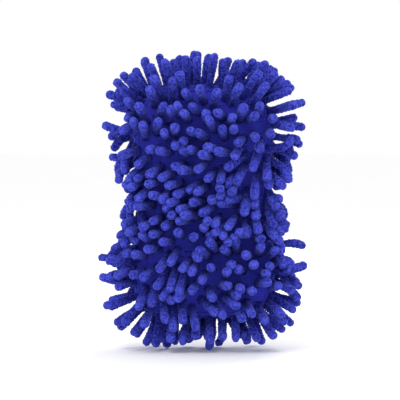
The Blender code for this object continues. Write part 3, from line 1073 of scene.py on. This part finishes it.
def back_stitches():
    """Two rows of topstitching round the binding."""
    parts = []
    for turn in np.radians(STITCH_TURNS):
        count = int(outline.length / STITCH_PITCH)
        runs = np.arange(count) * outline.length / count
        first = [edge_point(d, turn, 1) for d in runs]
        last = [edge_point(d + STITCH_LENGTH, turn, 1)[0] for d in runs]
        ups = [n for _, n in first]
        starts = [p + n * BAND_LIFT for p, n in first]
        ends = [p + n * BAND_LIFT for p, n in zip(last, ups)]
        parts.append(stitches(starts, ends, ups))
    return mesh_object("back_stitches", *joined(parts))


# ---------------- hand strap

STRAP_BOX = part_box("hand_strap")
STRAP_HALF_WIDTH = (STRAP_BOX[1].z - STRAP_BOX[0].z) / 2
STRAP_HALF_THICKNESS = 0.9 * MM
STRAP_CROWN_Y = STRAP_BOX[1].y - STRAP_HALF_THICKNESS
STRAP_HALF_SPAN = STRAP_BOX[1].x
STRAP_BOW_POWER = 1.6
STRAP_END_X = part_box("strap_end_right")[1].x + 1.5 * MM
STRAP_RIB_PITCH = 2.8 * MM
STRAP_RIB_HEIGHT = 0.22 * MM
STRAP_PICK = 1.5 * MM
STRAP_WEAVE = (0.7, 0.3)  # shares of the ribs and of the cross threads in the relief
STRAP_SQUARENESS = 24  # of its edges
STRAP_EDGE = 0.15 * MM
STRAP_SEAT = 1.1 * MM  # it lies over the binding
STRAP_STATIONS = 260
STRAP_COLUMNS = 100


def strap_line():
    """The strap's middle line: flat on the back at its sewn ends, and bowed out between them."""
    x = np.linspace(-STRAP_END_X, STRAP_END_X, STRAP_STATIONS)
    lift = BACK_LIFT + NET_THICKNESS + STRAP_HALF_THICKNESS + STRAP_SEAT
    ground = np.array([face_point(place, 0, 1)[0][1] for place in x]) + lift
    foot = np.interp(STRAP_HALF_SPAN, x, ground)
    bow = np.cos(np.pi / 2 * np.clip(x / STRAP_HALF_SPAN, -1, 1)).clip(0) ** STRAP_BOW_POWER
    arch = foot + (STRAP_CROWN_Y - foot) * bow
    y = np.where(np.abs(x) < STRAP_HALF_SPAN, np.maximum(arch, ground), ground)
    return np.stack([x, y, 0 * x + PAD_Z], 1)


def strap():
    """One piece of ribbed elastic webbing."""
    line = strap_line()
    along = unit(np.gradient(line, axis=0))
    sides = np.tile([0.0, 0, 1], (len(line), 1))
    ups = unit(np.cross(sides, along))
    run = np.concatenate([[0], np.cumsum(np.linalg.norm(np.diff(line, axis=0), axis=1))])
    across = np.linspace(-1, 1, STRAP_COLUMNS) * STRAP_HALF_WIDTH
    rib = np.cos(2 * np.pi * across / STRAP_RIB_PITCH)
    pick = np.cos(2 * np.pi * run[:, None] / STRAP_PICK + np.pi * (rib > 0))
    edge = np.sqrt(np.clip(1 - (np.abs(across) / STRAP_HALF_WIDTH) ** STRAP_SQUARENESS, 0, 1))
    relief = STRAP_WEAVE[0] * rib + STRAP_WEAVE[1] * pick
    height = (STRAP_HALF_THICKNESS - STRAP_RIB_HEIGHT + STRAP_RIB_HEIGHT * relief) * edge
    height = np.maximum(height, STRAP_EDGE)
    wide = np.tile(across, (len(line), 1))
    top = np.stack([wide, height], -1)
    bottom = np.stack([wide[:, ::-1], -height[:, ::-1]], -1)
    made = mesh_object("strap", *sweep(line, sides, ups, np.concatenate([top, bottom], 1)))
    return made, line


TACK_HALF_LENGTH = 25 * MM
TACK_HALF_WIDTH = 1.3 * MM
TACK_PITCH = 0.85 * MM
TACK_STEPS = 5  # along each stitch


def bar_tack(name, line):
    """A dense zigzag of thread across the strap's sewn end."""
    low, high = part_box(f"bar_tack_{name}")
    x = (low.x + high.x) / 2
    before, y, after = np.interp([x - MM, x, x + MM], line[:, 0], line[:, 1])
    y += STRAP_HALF_THICKNESS
    slope = (after - before) / 2 / MM
    count = int(2 * TACK_HALF_LENGTH / TACK_PITCH)
    z = np.linspace(-TACK_HALF_LENGTH, TACK_HALF_LENGTH, count) + PAD_Z
    zigzag = np.where(np.arange(count) % 2, 1, -1) * TACK_HALF_WIDTH
    fine = np.linspace(0, count - 1, count * TACK_STEPS)
    offset = np.interp(fine, np.arange(count), zigzag)
    rise = THREAD_RADIUS * (0.4 + 0.6 * np.cos(np.pi / 2 * offset / TACK_HALF_WIDTH))
    centres = np.stack([x + offset, y + slope * offset + rise, np.interp(fine, np.arange(count), z)], 1)
    up = unit(np.array([-slope, 1, 0]))
    sides, ups = path_frames(centres, np.tile(up, (len(centres), 1)))
    return mesh_object(f"tack_{name}", *sweep(centres, sides, ups, oval(THREAD_RADIUS, THREAD_RADIUS, 6)))


# ---------------- putting it together

CORE_GAP = 1.6 * MM  # between the foam and the cover's outside

ground = ground_look()
binding = binding_look()
thread = thread_look()

core = form.copy()
core.data = form.data.copy()
core.name = "foam_filling"
bpy.context.scene.collection.objects.link(core)
shrink = core.modifiers.new("Inside the cover", "DISPLACE")
shrink.strength = -CORE_GAP
shrink.mid_level = 0
apply_modifiers(core)
finish_piece(core, foam_look(), ["foam_core"])

front_rows, side_rows = front_roots(), side_roots()
front = face_cloth("front_ground", -1, [n[0] for row in front_rows for n in row])
finish_piece(front, ground, ["front_cloth"])
back = face_cloth("back_ground", 1)
finish_piece(back, ground)
net = back_net()
finish_piece(net, net_look(), ["back_panel"])
band = back_band()
finish_piece(band, binding)
side = gusset_strip([n[0] for row in side_rows.values() for n in row])
finish_piece(side, ground, ["gusset_cloth"])
finish_piece(piping("front_piping", -1), ground, ["front_seam_piping"])
finish_piece(piping("back_piping", 1), binding, ["back_seam_piping"])
finish_piece(back_stitches(), thread)

webbing, webbing_line = strap()
for label in ("left", "right"):
    finish_piece(bar_tack(label, webbing_line), thread, [f"bar_tack_{label}"])
finish_piece(
    webbing, elastic_look(), ["hand_strap", "strap_end_left", "strap_end_right"], body=None
)
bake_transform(webbing)

grow_pile(pile_look(), front_rows, side_rows)
bpy.data.objects.remove(form)

# ---------------- stage

floor_look = Look("floor", 0.9)
floor_look.colours(floor_look.noise(3, 2), (0.0, (0.97, 0.97, 0.97)), (1.0, (1.0, 1.0, 1.0)))
bpy.ops.mesh.primitive_plane_add(size=60)
floor = bpy.context.object
floor.name = "floor"
floor.data.materials.append(floor_look.material)

world = bpy.data.worlds.new("studio")
bpy.context.scene.world = world
world.use_nodes = True
sky = world.node_tree.nodes["Background"].inputs
sky["Color"].default_value = (1, 1, 1, 1)
sky["Strength"].default_value = 1.0


def area_light(name, place, target, size, power):
    data = bpy.data.lights.new(name, "AREA")
    data.size = size
    data.energy = power
    light = new_object(name, data)
    light.location = place
    light.rotation_euler = (Vector(target) - Vector(place)).to_track_quat("-Z", "Y").to_euler()


middle = Vector((0, PAD_Y, PAD_Z))
area_light("key", (-0.5, -1.2, 1.6), middle, 0.6, 10.5)
area_light("back", (0.8, 1.4, 1.2), middle, 0.9, 12)

CAMERA_DISTANCE = 1.5
CAMERA_RISE = 0.05  # above the pad's middle
CAMERA_LENS = 156
AIM_X, AIM_RISE = -0.003, 0.0015  # where the camera looks, from the pad's middle
lens_data = bpy.data.cameras.new("camera")
camera = new_object("camera", lens_data)
camera.location = (0, -CAMERA_DISTANCE, PAD_Z + CAMERA_RISE)
lens_data.sensor_width = 36
lens_data.lens = CAMERA_LENS
aim = Vector((AIM_X, 0, PAD_Z + AIM_RISE))
camera.rotation_euler = (aim - camera.location).to_track_quat("-Z", "Y").to_euler()
bpy.context.scene.camera = camera
bpy.context.scene.view_settings.view_transform = "Standard"
